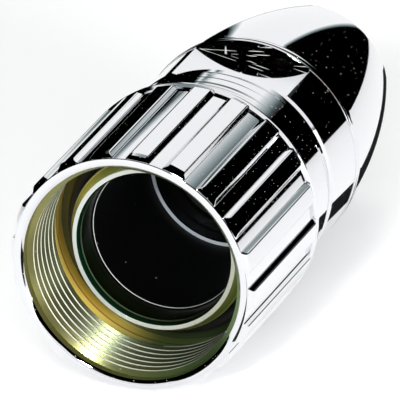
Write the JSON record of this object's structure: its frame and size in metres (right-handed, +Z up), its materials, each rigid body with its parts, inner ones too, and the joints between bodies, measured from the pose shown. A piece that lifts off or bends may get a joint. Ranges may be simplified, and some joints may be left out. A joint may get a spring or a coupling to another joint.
{
  "type": "signal connector",
  "caption": "Chrome-plated circular cable connector housing with a ribbed coupling nut, spanner flats and a bullet-shaped clamping shell.",
  "frame": {"origin": "on the connector's axis at the front end of the coupling thread, just inside the mouth", "axes": "Y along the connector's axis with the mouth towards -Y and the cable end towards +Y, +Z up as it lies on two ribs of the nut, with one spanner flat facing 8 degrees from +Z towards +X"},
  "size_m": [0.0258, 0.0524, 0.0258],
  "materials": {
    "plated_nut": "chrome-plated outside, olive-gold chromated thread",
    "plated_body": "polished chrome plating",
    "spring_steel": "drawn spring steel",
    "grey_metal": "nickel-plated brass, turned",
    "black_plastic": "moulded, satin",
    "seal_rubber": "moulded, matt"
  },
  "bodies": {
    "housing": {"housing_body": "plated_body", "nut_snap_ring": "spring_steel", "mating_seal": "seal_rubber", "insulating_sleeve": "black_plastic", "shield_ring": "grey_metal", "body_seal_ring": "seal_rubber"},
    "nut": {"coupling_nut": "plated_nut", "nut_friction_ring": "seal_rubber"},
    "clamp": {"clamp_cage": "black_plastic", "cable_seal": "seal_rubber"},
    "shell": {"rear_shell": "plated_body"}
  },
  "joints": [
    {"name": "nut_spin", "type": "hinge", "parent": "housing", "child": "nut", "pos_m": [0, 0.015, 0], "axis": [0, 1, 0], "continuous": true},
    {"name": "clamp_slide", "type": "slide", "parent": "housing", "child": "clamp", "axis": [0, 1, 0], "range_m": [0, 0.005]},
    {"name": "shell_turn", "type": "hinge", "parent": "clamp", "child": "shell", "pos_m": [0, 0.04, 0], "axis": [0, 1, 0], "range_deg": [0, 1800]}
  ],
  "couplings": [
    {"joint": "clamp_slide", "follows": "shell_turn", "m_per_rad": 0.00015915}
  ]
}
